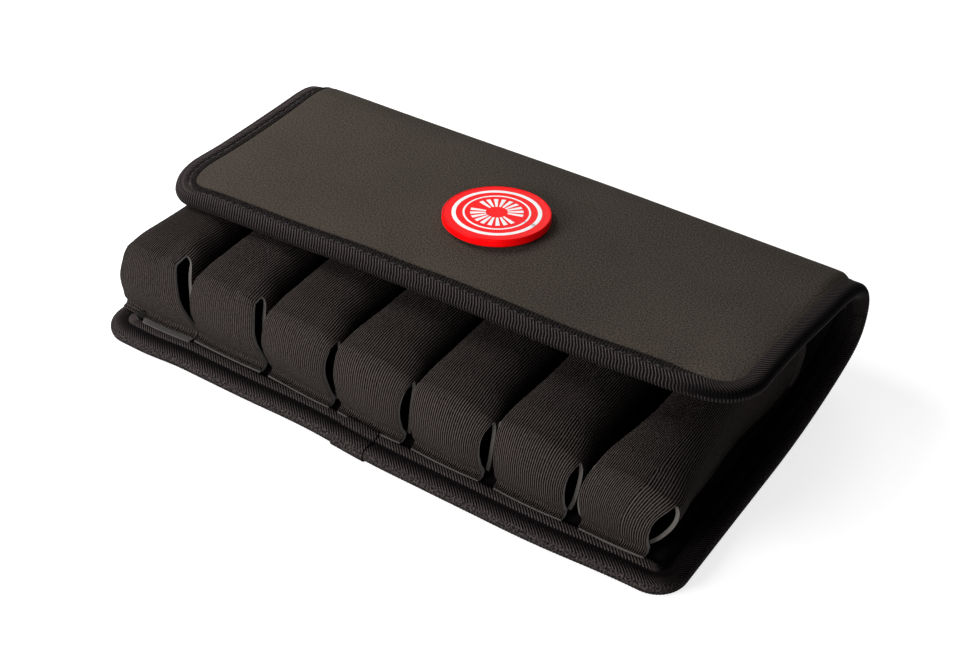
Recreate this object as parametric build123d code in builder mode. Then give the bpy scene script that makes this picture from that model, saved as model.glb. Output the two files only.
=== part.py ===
from build123d import *
import os

# A soft folding case that holds seven ten-hole harmonicas on edge, side by side.
# One padded sheet makes the bottom, the rounded back and the lid; ribbed tape binds its edge.
# A stiff cloth is sewn to the bottom as seven tunnels, each closed in front by a sewn-down tab.
# +X runs along the case, +Y from the front hem to the back, +Z up. The origin is on the table
# under the middle of the case. Sizes are in millimetres.

# Whole case
WIDTH = 210.0
DEPTH = 122.0
HALF = WIDTH / 2
FRONT = -DEPTH / 2
REAR = DEPTH / 2

# Layers of the padded sheet, counted from its outer face
COVER = 0.9
FOAM = 2.4
LINING = 0.9
SHEET = COVER + FOAM + LINING

# Binding tape: a band on both faces of the edge, joined round it
TAPE = 1.0
BOUND = 4.6
ROUNDING = 2.1
SIDE_BAND = 6.4
HEM_BAND = 7.6
LID_BAND = 6.6
OUTER_CORNER = 14.0
HEM_INNER_CORNER = 4.0
LID_INNER_CORNER = 7.6

# Back: a wide curve below and a tighter fold above, both centred at BACK_HEIGHT.
# The strip between the two folds reaches STRIP_BELOW and STRIP_ABOVE degrees into them.
LOWER_RADIUS = 22.3
UPPER_RADIUS = 16.7
BACK_HEIGHT = LOWER_RADIUS
STRIP_BELOW = 18.0
STRIP_ABOVE = 20.0
BASE_END = REAR - LOWER_RADIUS
LID_REAR = REAR - UPPER_RADIUS
FOLD_TOP = BACK_HEIGHT + UPPER_RADIUS
LOWER_FOLD = ((LOWER_RADIUS, -90.0, -STRIP_BELOW),)
BACK_STRIP = ((LOWER_RADIUS, -STRIP_BELOW, 0.0), (UPPER_RADIUS, 0.0, STRIP_ABOVE))
UPPER_FOLD = ((UPPER_RADIUS, STRIP_ABOVE, 90.0),)

# Lid: (Y, Z) of its outer face along the left and the right edge, from the fold to the front.
# The soft lid lies lower at its left end, where it settles on the pockets.
LID_FRONT = FRONT + 33.4
LID_LEFT = ((LID_REAR, FOLD_TOP), (29, 38.0), (15, 37.4), (1, 37.2), (LID_FRONT - 2, 37.2))
LID_RIGHT = ((LID_REAR, FOLD_TOP), (29, 42.6), (15, 45.6), (1, 47.3), (LID_FRONT - 2, 47.6))
OVER_ALL = 60.0

# Pockets, each for a harmonica about 20 mm thick, 26 mm tall and 102 mm long
POCKETS = 7
PITCH = 27.8
CLOTH = 1.6
POCKET_TOP = 32.4
TOP_HALF = 12.3
BULGE_HALF = 13.6
BULGE_HEIGHT = 15.0
FOOT_HALF = 12.4
FLANGE_HALF = 13.75
FLANGE = 1.2
POCKET_CORNER = 2.2
WALL_FRONT = FRONT + 10.5
MOUTH = FRONT + 96.0
MOUTH_TAPE = 3.0

# Tab over a pocket's front, bulging forward at half its height, and its turned-out toe
TAB_HALF = 11.8
TAB_EDGE = FRONT + 8.3
TAB_BULGE = FRONT + 5.9
TAB_TURN = 1.1
TAB_TOE = FRONT + 7.7
TAB_MIDDLE = (POCKET_TOP + SHEET) / 2

# Hook-and-loop patches that hold the lid shut, over the third and the fifth pocket
PATCH = 1.6
PATCH_WIDTH = 18.0
PATCH_LENGTH = 26.0
PATCH_CORNER = 2.0
PATCH_Y = -1.0

# Round badge on the lid
BADGE_X = 1.0
BADGE_Y = 12.0
BADGE_RADIUS = 16.8
BADGE = 2.6
BADGE_RIM = 1.1
BADGE_INLAY = 0.5

# How far the middle of a quarter round stands in from the corner that it replaces, per radius
QUARTER_INSET = 1 - 0.5**0.5


def write(part, name):
    """Labels a finished piece and writes it as its own STEP file."""
    part.label = name
    export_step(part, f"parts/{name}.step")


def panel_plan(front, rear, side_inset, front_inset, corner):
    """Plan of a panel, drawn in from the case's edge: square at the rear, round in front."""
    half = HALF - side_inset
    start = front + front_inset
    with BuildSketch() as plan:
        with BuildLine():
            FilletPolyline((half, rear), (half, start), (-half, start), (-half, rear), radius=corner)
            Line((-half, rear), (half, rear))
        make_face()
    return plan.sketch


def rim_edges(panel, rear):
    """Upper and lower edges of a panel's left, front and right sides."""
    level = [edge for edge in panel.edges() if abs((edge % 0.5).Z) < 0.5]
    return [edge for edge in level if edge.center().Y < rear - 1]


def bend(stretches, outer, inner, low_x, high_x):
    """One layer of the back, over stretches of (radius, first angle, last angle)."""
    with BuildPart() as layer:
        for radius, start, stop in stretches:
            centre = (REAR - radius, BACK_HEIGHT)
            with BuildSketch(Plane.YZ.offset(low_x)):
                with BuildLine():
                    far = CenterArc(centre, radius - outer, start, stop - start)
                    near = CenterArc(centre, radius - inner, start, stop - start)
                    Line(far @ 0, near @ 0)
                    Line(far @ 1, near @ 1)
                make_face()
            extrude(amount=high_x - low_x)
    return layer.part


def bend_binding(stretches, side):
    """Tape round one end of the back's sheet: side is -1 at the left end, 1 at the right."""
    low, high = sorted((side * (HALF - SIDE_BAND), side * HALF))
    slot_low, slot_high = sorted((side * (HALF - SIDE_BAND), side * (HALF - TAPE)))
    with BuildPart() as tape:
        add(bend(stretches, 0, BOUND, low, high))
        ends = tape.edges().filter_by(GeomType.CIRCLE).group_by(Axis.X)
        fillet(ends[-1] if side > 0 else ends[0], ROUNDING)
        add(bend(stretches, COVER, COVER + FOAM, slot_low, slot_high), mode=Mode.SUBTRACT)
    return tape.part


def write_back(place, stretches):
    """Writes the five pieces of one stretch of the back: three layers and two end tapes."""
    inside = HALF - SIDE_BAND
    core = HALF - TAPE
    write(bend(stretches, 0, COVER, -inside, inside), f"{place}_cover")
    write(bend(stretches, COVER, COVER + FOAM, -core, core), f"{place}_foam")
    write(bend(stretches, COVER + FOAM, SHEET, -inside, inside), f"{place}_lining")
    write(bend_binding(stretches, -1), f"{place}_binding_left")
    write(bend_binding(stretches, 1), f"{place}_binding_right")


def lid_layer(outer, inner):
    """Slab of the lid between two depths below its outer face, wider than its plan."""
    level = ((-1, 0), (-1, 0))
    with BuildPart() as slab:
        for x, crest in ((-HALF - 1, LID_LEFT), (HALF + 1, LID_RIGHT)):
            with BuildSketch(Plane.YZ.offset(x)):
                with BuildLine():
                    top = Spline([(y, z - outer) for y, z in crest], tangents=level)
                    under = Spline([(y, z - inner) for y, z in crest], tangents=level)
                    Line(top @ 0, under @ 0)
                    Line(top @ 1, under @ 1)
                make_face()
        loft(ruled=True)
    return slab.part


def lid_piece(outer, inner, plan):
    """The part of a lid slab that stands over a plan."""
    with BuildPart() as piece:
        add(lid_layer(outer, inner))
        add(plan)
        extrude(amount=OVER_ALL, mode=Mode.INTERSECT)
    return piece.part


def disc_plan(radius):
    """Plan of the badge, or of the inlay in it."""
    with BuildSketch() as plan:
        with Locations((BADGE_X, BADGE_Y)):
            Circle(radius)
    return plan.sketch


def tunnel(middle, rear, length):
    """A pocket's walls and top, from its rear end forward: open at both ends, with no floor."""
    top = POCKET_TOP - SHEET
    bulge = BULGE_HEIGHT - SHEET
    shoulder = TOP_HALF - POCKET_CORNER
    inset = QUARTER_INSET * POCKET_CORNER
    with BuildPart() as cloth:
        with BuildSketch(Plane(origin=(middle, rear, SHEET), x_dir=(1, 0, 0), z_dir=(0, -1, 0))):
            with BuildLine():
                flat = Line((-shoulder, top), (shoulder, top))
                feet = Line((-FOOT_HALF, 0), (FOOT_HALF, 0))
                for side in (0, 1):
                    sign = 2 * side - 1
                    edge = (sign * TOP_HALF, top - POCKET_CORNER)
                    ThreePointArc(feet @ side, (sign * BULGE_HALF, bulge), edge)
                    ThreePointArc(edge, (sign * (TOP_HALF - inset), top - inset), flat @ side)
            make_face()
            offset(amount=-CLOTH, mode=Mode.SUBTRACT)
            Rectangle(2 * (FOOT_HALF - CLOTH), 2 * CLOTH, mode=Mode.SUBTRACT)
        extrude(amount=length)
    return cloth.part


def flanges(middle):
    """The outward turned feet by which a pocket's two walls are sewn to the lining."""
    inner = FOOT_HALF - CLOTH / 2
    with BuildPart() as feet:
        with BuildSketch(Plane.XY.offset(SHEET)):
            for side in (-1, 1):
                with Locations((middle + side * (FLANGE_HALF + inner) / 2, (MOUTH + WALL_FRONT) / 2)):
                    Rectangle(FLANGE_HALF - inner, MOUTH - WALL_FRONT)
        extrude(amount=FLANGE)
    return feet.part


def tab(middle):
    """The cloth that turns down from a pocket's top over its front and ends in a short toe."""
    back = TAB_EDGE + CLOTH
    inset = QUARTER_INSET * TAB_TURN
    with BuildPart() as cloth:
        with BuildSketch(Plane.YZ.offset(middle - TAB_HALF)):
            with BuildLine():
                outside = ThreePointArc(
                    (TAB_EDGE, POCKET_TOP - TAB_TURN), (TAB_BULGE, TAB_MIDDLE), (TAB_EDGE, SHEET)
                )
                inside = ThreePointArc(
                    (back, POCKET_TOP - CLOTH), (TAB_BULGE + CLOTH, TAB_MIDDLE), (back, SHEET)
                )
                crest = Line((TAB_EDGE + TAB_TURN, POCKET_TOP), (WALL_FRONT, POCKET_TOP))
                ThreePointArc(outside @ 0, (TAB_EDGE + inset, POCKET_TOP - inset), crest @ 0)
                Polyline(crest @ 1, (WALL_FRONT, POCKET_TOP - CLOTH), inside @ 0)
                Line(outside @ 1, inside @ 1)
            make_face()
            with Locations(((TAB_TOE + back) / 2, SHEET + FLANGE / 2)):
                Rectangle(back - TAB_TOE, FLANGE)
        extrude(amount=2 * TAB_HALF)
    return cloth.part


os.makedirs("parts", exist_ok=True)

# Bottom: cover, foam and lining, with the binding round the left, front and right edges
outer_plan = panel_plan(FRONT, BASE_END, 0, 0, OUTER_CORNER)
core_plan = panel_plan(FRONT, BASE_END, TAPE, TAPE, OUTER_CORNER - TAPE)
inner_plan = panel_plan(FRONT, BASE_END, SIDE_BAND, HEM_BAND, HEM_INNER_CORNER)

with BuildPart() as base_cover:
    add(inner_plan)
    extrude(amount=COVER)
write(base_cover.part, "base_cover")

with BuildPart() as base_foam:
    with Locations((0, 0, COVER)):
        add(core_plan)
    extrude(amount=FOAM)
write(base_foam.part, "base_foam")

with BuildPart() as base_lining:
    with Locations((0, 0, COVER + FOAM)):
        add(inner_plan)
    extrude(amount=LINING)
write(base_lining.part, "base_lining")

with BuildPart() as base_binding:
    add(outer_plan)
    extrude(amount=BOUND)
    fillet(rim_edges(base_binding, BASE_END), ROUNDING)
    add(inner_plan)
    extrude(amount=BOUND, mode=Mode.SUBTRACT)
    with Locations((0, 0, COVER)):
        add(core_plan)
    extrude(amount=FOAM, mode=Mode.SUBTRACT)
write(base_binding.part, "base_binding")

# Back: the wide lower curve, the strip behind the pockets and the fold to the lid
write_back("lower_fold", LOWER_FOLD)
write_back("back", BACK_STRIP)
write_back("upper_fold", UPPER_FOLD)

# Lid: the same layers, with the binding round its left, front and right edges
lid_plan = panel_plan(LID_FRONT, LID_REAR, 0, 0, OUTER_CORNER)
lid_core_plan = panel_plan(LID_FRONT, LID_REAR, TAPE, TAPE, OUTER_CORNER - TAPE)
lid_inner_plan = panel_plan(LID_FRONT, LID_REAR, SIDE_BAND, LID_BAND, LID_INNER_CORNER)
write(lid_piece(0, COVER, lid_inner_plan), "lid_cover")
write(lid_piece(COVER, COVER + FOAM, lid_core_plan), "lid_foam")
write(lid_piece(COVER + FOAM, SHEET, lid_inner_plan), "lid_lining")

with BuildPart() as lid_binding:
    add(lid_piece(0, BOUND, lid_plan))
    fillet(rim_edges(lid_binding, LID_REAR), ROUNDING)
    add(lid_inner_plan)
    extrude(amount=OVER_ALL, mode=Mode.SUBTRACT)
    add(lid_piece(COVER, COVER + FOAM, lid_core_plan), mode=Mode.SUBTRACT)
write(lid_binding.part, "lid_binding")

# Badge: a round body with a raised rim, and the inlay that fills it
badge_inlay = lid_piece(-BADGE, BADGE_INLAY - BADGE, disc_plan(BADGE_RADIUS - BADGE_RIM))
with BuildPart() as badge_body:
    add(lid_piece(-BADGE, 0, disc_plan(BADGE_RADIUS)))
    add(badge_inlay, mode=Mode.SUBTRACT)
write(badge_body.part, "badge_body")
write(badge_inlay, "badge_inlay")

# Closure patches: hooks under the lid, loops on the two pockets below them
with BuildSketch() as patch_plan:
    with Locations((-PITCH, PATCH_Y), (PITCH, PATCH_Y)):
        RectangleRounded(PATCH_WIDTH, PATCH_LENGTH, PATCH_CORNER)
write(lid_piece(SHEET, SHEET + PATCH, patch_plan.sketch), "hook_patches")

with BuildPart() as loop_patches:
    with Locations((0, 0, POCKET_TOP)):
        add(patch_plan.sketch)
    extrude(amount=PATCH)
write(loop_patches.part, "loop_patches")

# Pockets from left to right, and the tapes round their rear mouths
middles = [(number - (POCKETS - 1) / 2) * PITCH for number in range(POCKETS)]
for number, middle in enumerate(middles, start=1):
    with BuildPart() as pocket:
        add(tunnel(middle, MOUTH, MOUTH - WALL_FRONT))
        add(flanges(middle))
        add(tab(middle))
    write(pocket.part, f"pocket_{number}")

with BuildPart() as mouth_tapes:
    for middle in middles:
        add(tunnel(middle, MOUTH + MOUTH_TAPE, MOUTH_TAPE))
write(mouth_tapes.part, "mouth_tapes")
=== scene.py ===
"""Dresses the soft harmonica case: padded sheet, bound edge, seven ribbed pockets and a badge.

Lengths are in millimetres and become metres when a mesh is made. +X runs along the case, +Y from
the front hem to the rounded back, +Z up from the table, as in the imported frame.
"""

import math

import bmesh
import bpy
import numpy as np
from mathutils import Matrix, Vector


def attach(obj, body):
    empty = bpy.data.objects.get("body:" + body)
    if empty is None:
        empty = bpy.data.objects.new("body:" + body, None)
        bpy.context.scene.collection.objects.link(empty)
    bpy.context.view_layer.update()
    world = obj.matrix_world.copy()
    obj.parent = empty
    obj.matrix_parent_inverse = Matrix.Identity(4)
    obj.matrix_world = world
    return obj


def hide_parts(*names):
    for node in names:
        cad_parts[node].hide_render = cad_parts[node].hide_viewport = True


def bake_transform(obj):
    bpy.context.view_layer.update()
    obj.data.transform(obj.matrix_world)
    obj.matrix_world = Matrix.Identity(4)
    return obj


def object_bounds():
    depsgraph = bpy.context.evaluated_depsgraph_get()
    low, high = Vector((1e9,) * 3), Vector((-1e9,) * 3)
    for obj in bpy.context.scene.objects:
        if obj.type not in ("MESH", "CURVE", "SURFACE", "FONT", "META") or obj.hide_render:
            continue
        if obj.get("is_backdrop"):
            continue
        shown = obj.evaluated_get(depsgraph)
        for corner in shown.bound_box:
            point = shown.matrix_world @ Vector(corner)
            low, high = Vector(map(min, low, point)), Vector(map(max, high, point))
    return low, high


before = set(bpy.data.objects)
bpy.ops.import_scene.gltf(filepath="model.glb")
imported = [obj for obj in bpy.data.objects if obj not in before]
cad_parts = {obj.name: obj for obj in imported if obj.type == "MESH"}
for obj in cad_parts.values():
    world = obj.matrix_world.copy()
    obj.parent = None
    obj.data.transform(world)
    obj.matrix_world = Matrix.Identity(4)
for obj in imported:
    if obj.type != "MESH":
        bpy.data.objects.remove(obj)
cad_low, cad_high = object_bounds()

# ---- Sizes ----

MM = 0.001
HALF = cad_high.x / MM
WIDTH = 2 * HALF
FRONT = cad_low.y / MM

# The padded sheet, laid out flat: it runs from the front hem under the pockets, up the back and
# over to the lid's front edge.
SHEET_LENGTH = 233.0
SHEET_MIDDLE = 132.0
HEM_CORNER = 10.0
LID_CORNER = 14.0
BOUND = 4.7
COVER_DEPTH = 0.35
LINING_DEPTH = 4.25
CLOTH = 0.9

# (Y, Z) of the sheet's outer face at its left and right ends, from the hem to the lid's front
LEFT_END = (
    (-61, 0), (-40, 0), (-18, 0), (6, 0), (26, 0.5), (40, 2.0), (48, 4.2), (54.2, 7.8), (58.4, 12.6),
    (60.5, 18.2), (60.3, 24.2), (57.6, 29.8), (53.4, 34), (47, 36.4), (38, 37), (26, 37), (10, 37.1),
    (-8, 37.2), (-27.8, 37.2),
)
RIGHT_END = (
    (-61, 0), (-40, 0), (-18, 0), (2, 0), (16, 0.6), (28, 2.1), (41, 4.6), (48.2, 6.5), (55, 9.1),
    (59.2, 12.8), (61, 17.6), (61.2, 23), (59.2, 29), (55.4, 33.8), (50, 37.6), (43, 40.6), (33, 42.9),
    (22, 44.9), (10, 46.8), (-2, 47.6), (-14, 47.7), (-27.8, 47.6),
)

# Binding tape: its ribs' pitch, points and height, how much they lean on the lid's outer face and
# on the hem's inner one, and the stitches' pitch
RIB = 1.03
RIB_STEPS = 4
RIB_HEIGHT = 0.42
LID_SKEW = 0.67
HEM_SKEW = 1.0
STITCH = 2.9

# Pockets
POCKETS = 7
PITCH = 27.8
POCKET_CLOTH = 1.15
POCKET_REAR = 35.0
POCKET_FRONT = -50.0
POCKET_MIDDLES = [(number - (POCKETS - 1) / 2) * PITCH for number in range(POCKETS)]
# Each pocket as it stands, in how far its left and right shoulders and its feet lie to the right,
# how high its top is, how far its right wall's front edge spreads and curls in at its foot, how
# many steps the right slit runs into the top, how far its left shoulder moves towards the rear, how
# much its right shoulder rises at the front, and how far back its slit runs
LEFT_TOP = (-0.7, 0.1, 1.0, -0.4, 0.0, 0.3, 3.4)
RIGHT_TOP = (-2.1, -0.6, 0.6, 0.5, 0.2, 0.2, 0.6)
FOOT_LEAN = (-2.2, -0.6, -0.1, -0.9, -0.6, 0.0, -1.2)
TOP_HEIGHT = (33.2, 33.4, 33.1, 32.2, 31.5, 31.2, 31.4)
RIGHT_SPREAD = (1.0, 0.8, 0.3, 0.1, 0.4, 1.0, 3.2)
FOOT_CURL = (0.0, 0.3, 0.4, 0.4, 0.6, 1.2, 4.2)
SLIT_STEPS = (4, 2, 0, 0, 0, 0, 0)
RIGHT_RISE = (2.8, 2.2, 1.2, 0.3, 0.0, 0.0, 0.0)
SLIT_BACK = (4.0, 2.6, 1.5, 0.8, 0.4, 0.4, 0.4)
LEFT_TURN = (1.3, -0.5, -0.7, 0.8, 0.0, 1.2, 2.4)
# How far each tab's seam allowance shows in front of its toe
TOE_STRIP = (2.1, 0.6, 0.35, 0.3, 0.25, 0.25, 0.2)
# The tab's left and right edges halfway down and near its foot
TAB_LEFT = (
    (-13.6, -16.7), (-12.7, -14.4), (-12.0, -12.4), (-12.4, -12.6), (-12.4, -12.7), (-11.3, -11.6),
    (-11.0, -11.2),
)
TAB_RIGHT = (
    (10.0, 12.7), (12.7, 12.6), (11.6, 12.2), (11.5, 11.3), (11.5, 11.2), (12.0, 11.3), (11.6, 9.6),
)

# Badge
BADGE_X = 1.0
BADGE_Y = 12.0
BADGE_TILT = 1.0


# ---- Curves and meshes ----


def ease(share):
    """0 below 0, 1 above 1, and 3t^2 - 2t^3 between them."""
    t = np.clip(share, 0, 1)
    return t * t * (3 - 2 * t)


def blend(a, b, share):
    return a + (b - a) * share


def hump(x, middle, width):
    """A bell of height 1: e to the minus ((x - middle) / width) squared."""
    return np.exp(-(((x - middle) / width) ** 2))


def arc_length(points):
    """Distance along a curve to each of its points."""
    return np.concatenate([[0], np.cumsum(np.linalg.norm(np.diff(points, axis=0), axis=1))])


def coordinates(*axes):
    """Points from arrays of their coordinates, which broadcast together."""
    return np.stack(np.broadcast_arrays(*axes), axis=-1)


def smooth_curve(points, count):
    """Even steps along the natural cubic spline through the points, by its arc length."""
    knots = np.asarray(points, float)
    at = arc_length(knots)
    chord = np.diff(at)
    inner = np.arange(1, len(knots) - 1)
    system = np.eye(len(knots))
    system[inner, inner - 1] = chord[:-1]
    system[inner, inner] = 2 * (chord[:-1] + chord[1:])
    system[inner, inner + 1] = chord[1:]
    slope = np.diff(knots, axis=0) / chord[:, None]
    wanted = np.zeros_like(knots)
    wanted[inner] = 6 * np.diff(slope, axis=0)
    second = np.linalg.solve(system, wanted)
    fine = np.linspace(0, at[-1], 40 * len(knots))
    span = np.clip(np.searchsorted(at, fine) - 1, 0, len(chord) - 1)
    before = (fine - at[span])[:, None]
    after = (at[span + 1] - fine)[:, None]
    size = chord[span][:, None]
    path = (
        (second[span] * after**3 + second[span + 1] * before**3) / (6 * size)
        + (knots[span] / size - second[span] * size / 6) * after
        + (knots[span + 1] / size - second[span + 1] * size / 6) * before
    )
    run = arc_length(path)
    even = np.linspace(0, run[-1], count)
    return np.stack([np.interp(even, run, axis) for axis in path.T], axis=-1)


def quads(index):
    """Quads between the rows and columns of an array of point numbers."""
    return np.stack([index[:-1, :-1], index[:-1, 1:], index[1:, 1:], index[1:, :-1]], axis=-1).reshape(-1, 4)


def make_mesh(name, points, faces, finishes, uv=None, fields=None, face_finish=None, sharp=None):
    """An object from points in millimetres, an array of quads, and per-point uv and fields."""
    points = np.asarray(points, float).reshape(-1, 3)
    faces = np.asarray(faces, np.int32)
    mesh = bpy.data.meshes.new(name)
    mesh.vertices.add(len(points))
    mesh.vertices.foreach_set("co", (points * MM).astype(np.float32).ravel())
    mesh.loops.add(faces.size)
    mesh.loops.foreach_set("vertex_index", faces.ravel())
    mesh.polygons.add(len(faces))
    mesh.polygons.foreach_set("loop_start", np.arange(0, faces.size, faces.shape[1], dtype=np.int32))
    mesh.polygons.foreach_set("use_smooth", np.ones(len(faces), bool))
    if uv is not None:
        layer = mesh.uv_layers.new(name="Cloth")
        layer.data.foreach_set("uv", (np.asarray(uv, float).reshape(-1, 2)[faces.ravel()] * MM).ravel())
    for key, values in (fields or {}).items():
        field = mesh.attributes.new(key, "FLOAT", "POINT")
        field.data.foreach_set("value", np.ravel(values).astype(np.float32))
    for finish in finishes:
        mesh.materials.append(finish)
    if face_finish is not None:
        mesh.polygons.foreach_set("material_index", np.asarray(face_finish, np.int32))
    mesh.update(calc_edges=True)
    if sharp is not None:
        mesh.set_sharp_from_angle(angle=math.radians(sharp))
    piece = bpy.data.objects.new(name, mesh)
    bpy.context.scene.collection.objects.link(piece)
    return piece


def closed_skin(outer, inner):
    """Points and quads of a closed slab between two grids of the same size, outer facing out."""
    rows, columns = outer.shape[:2]
    count = rows * columns
    top = np.arange(count).reshape(rows, columns)
    under = top + count
    rim = np.concatenate([top[0, :], top[1:, -1], top[-1, -2::-1], top[-2:0:-1, 0]])
    rim_under = rim + count
    around = np.stack([rim_under, np.roll(rim_under, -1), np.roll(rim, -1), rim], axis=-1)
    faces = np.concatenate([quads(top), quads(under)[:, ::-1], around])
    return np.concatenate([outer.reshape(-1, 3), inner.reshape(-1, 3)]), faces


def apply_modifiers(piece):
    """Puts a piece's modifiers into its mesh."""
    evaluated = piece.evaluated_get(bpy.context.evaluated_depsgraph_get())
    finished = bpy.data.meshes.new_from_object(evaluated)
    piece.modifiers.clear()
    piece.data = finished


def reshape(piece, *changes):
    """Passes a piece's mesh through functions of an editable mesh."""
    shape = bmesh.new()
    shape.from_mesh(piece.data)
    for change in changes:
        change(shape)
    shape.to_mesh(piece.data)
    shape.free()
    return piece


def turn_out(shape):
    bmesh.ops.recalc_face_normals(shape, faces=shape.faces)


def weld(shape):
    bmesh.ops.remove_doubles(shape, verts=shape.verts, dist=1e-6)


def normals_2d(curve, axis):
    """Unit normals of a curve in a plane, its points along one axis of the array."""
    turn = np.gradient(curve, axis=axis)
    out = np.stack([-turn[..., 1], turn[..., 0]], axis=-1)
    return out / np.linalg.norm(out, axis=-1, keepdims=True)


# ---- Shader maths ----


class Value:
    """A shader socket that takes part in Python sums: each operator adds a Math node."""

    def __init__(self, finish, socket):
        self.finish = finish
        self.socket = socket

    def __add__(self, other):
        return self.finish.math("ADD", self, other)

    def __radd__(self, other):
        return self.finish.math("ADD", other, self)

    def __sub__(self, other):
        return self.finish.math("SUBTRACT", self, other)

    def __rsub__(self, other):
        return self.finish.math("SUBTRACT", other, self)

    def __mul__(self, other):
        return self.finish.math("MULTIPLY", self, other)

    def __rmul__(self, other):
        return self.finish.math("MULTIPLY", other, self)

    def __truediv__(self, other):
        return self.finish.math("DIVIDE", self, other)

    def __pow__(self, other):
        return self.finish.math("POWER", self, other)

    def sine(self):
        return self.finish.math("SINE", self)

    def clamped(self):
        return self.finish.math("MINIMUM", self.finish.math("MAXIMUM", self, 0.0), 1.0)


class Finish:
    """A material on one Principled BSDF, with the few calls that its patterns need."""

    def __init__(self, name, roughness, **constants):
        self.material = bpy.data.materials.new(name)
        self.material.use_nodes = True
        self.tree = self.material.node_tree
        self.surface = self.tree.nodes["Principled BSDF"]
        self.surface.inputs["Roughness"].default_value = roughness
        for socket, number in constants.items():
            self.surface.inputs[socket.replace("_", " ")].default_value = number

    def put(self, socket, value):
        """Links a Value to a socket, or sets the socket to a number or colour."""
        if isinstance(value, Value):
            self.tree.links.new(value.socket, socket)
        else:
            socket.default_value = value

    def node(self, kind, settings=(), output=0, **sockets):
        """A new node with its settings, its sockets' values or links, and one of its outputs."""
        made = self.tree.nodes.new("ShaderNode" + kind)
        for key, value in dict(settings).items():
            setattr(made, key, value)
        for key, value in sockets.items():
            self.put(made.inputs[int(key[1:]) if key[0] == "_" else key], value)
        return Value(self, made.outputs[output])

    def math(self, operation, *values):
        return self.node("Math", {"operation": operation}, **{f"_{i}": v for i, v in enumerate(values)})

    def place(self, across=1.0, along=1.0):
        """The cloth's own coordinates in millimetres, stretched by a factor each way."""
        flat = self.node("UVMap", {"uv_map": "Cloth"})
        return self.node("VectorMath", {"operation": "MULTIPLY"}, _0=flat, _1=(across / MM, along / MM, 1.0))

    def solid(self):
        """Object coordinates in millimetres."""
        place = self.node("TexCoord", output=3)
        return self.node("VectorMath", {"operation": "SCALE"}, _0=place, Scale=1 / MM)

    def part(self, vector, axis):
        return self.node("SeparateXYZ", output=axis, _0=vector)

    def field(self, name):
        """A number that the mesh holds at each point."""
        return self.node("Attribute", {"attribute_name": name}, 2)

    def noise(self, vector, scale, detail=2.0, roughness=0.5):
        return self.node("TexNoise", Vector=vector, Scale=scale, Detail=detail, Roughness=roughness)

    def ridges(self, along, pitch, shift=0.0):
        """A wave from 0 to 1 with one ridge each pitch."""
        return 0.5 + 0.5 * (along * (2 * math.pi / pitch) + shift).sine()

    def paint(self, share, first, second):
        """Colours the surface from the first colour, at a share of 0, to the second, at 1."""
        mixed = self.node("Mix", {"data_type": "RGBA"}, 2, _0=share, _6=shade(*first), _7=shade(*second))
        self.put(self.surface.inputs["Base Color"], mixed)

    def rough(self, value):
        self.put(self.surface.inputs["Roughness"], value)

    def bump(self, height, depth, under=None):
        """Raises the surface by height times depth millimetres, over another bump if one is given."""
        extra = {} if under is None else {"Normal": under}
        normal = self.node("Bump", Strength=1.0, Distance=depth * MM, Height=height, **extra)
        self.put(self.surface.inputs["Normal"], normal)
        return normal


def shade(red, green, blue):
    return (red, green, blue, 1.0)


def cover_cloth():
    """Outer cloth: warm dark grey, heathered, a fine plain weave with a short nap."""
    finish = Finish("shell_cloth", 0.95, Sheen_Weight=0.01, Sheen_Roughness=0.6, Specular_IOR_Level=0.04)
    place = finish.place()
    fleck = finish.noise(place, 2.2, 2.0, 0.6)
    cloud = finish.noise(place, 0.035, 3.0, 0.55)
    thread = finish.ridges(finish.part(place, 0), 0.46) * finish.ridges(finish.part(place, 1), 0.5, 1.0)
    light = ((fleck - 0.5) * 4.6 + 0.5 + (cloud - 0.5) * 0.35 + (thread - 0.25) * 0.15).clamped()
    finish.paint(light, (0.018, 0.0147, 0.0117), (0.0716, 0.059, 0.0472))
    finish.rough(0.86 + 0.1 * fleck)
    weave = finish.bump(thread, 0.035)
    finish.bump(fleck, 0.06, weave)
    return finish.material


def lining_cloth():
    """Lining: black knit with rows of tiny loops."""
    finish = Finish("lining_cloth", 0.9, Specular_IOR_Level=0.03)
    place = finish.place()
    rows = finish.ridges(finish.part(place, 1), 0.62)
    loops = finish.ridges(finish.part(place, 0), 0.8) * rows
    fleck = finish.noise(place, 1.4, 2.0)
    light = (loops * 0.7 + fleck * 0.3).clamped()
    finish.paint(light, (0.003, 0.0024, 0.0027), (0.011, 0.0095, 0.01))
    finish.bump(loops, 0.08)
    return finish.material


def pocket_cloth():
    """Pocket cloth: dark ribs that run along the pocket, crossed by finer threads.

    The colour is darkened between the ribs as painted shade in their valleys. On the tabs, from some
    50 mm in front of the middle, that painted shade is weaker and the colour evener, as painted light
    for the tabs' face-on light, a little less so from pocket to pocket.
    """
    finish = Finish("pocket_cloth", 0.85, Specular_IOR_Level=0.03)
    place = finish.place()
    across = finish.part(place, 0)
    wander = (finish.noise(place, 0.12, 2.0) - 0.5) * 0.25
    rib = finish.ridges(across + wander, 0.74)
    pick = finish.noise(finish.place(0.5, 2.2), 1.3, 2.0)
    fleck = finish.noise(place, 1.3, 3.0, 0.6)
    # rib to the fifth power paints shade into the valleys between the ribs; front weakens that painted shade
    # on the tabs, as painted light for their face-on light, less so on each later pocket
    front = ((finish.part(place, 1) - 49.0) / 4.0).clamped() * (1.2 - across / 300.0).clamped() * 0.6
    rib_painted_shade = rib**5.0 * 1.2 * (1.0 - front) + front * 0.27
    light = (rib_painted_shade + (fleck - 0.5) * 0.9 + (pick - 0.5) * 0.3 + 0.03).clamped()
    finish.paint(light, (0.0024, 0.002, 0.0018), (0.079, 0.0645, 0.0597))
    finish.rough(0.78 + 0.14 * fleck)
    ribs = finish.bump(rib, 0.4)
    finish.bump(fleck * 0.6 + pick * 0.4, 0.03, ribs)
    return finish.material


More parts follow.
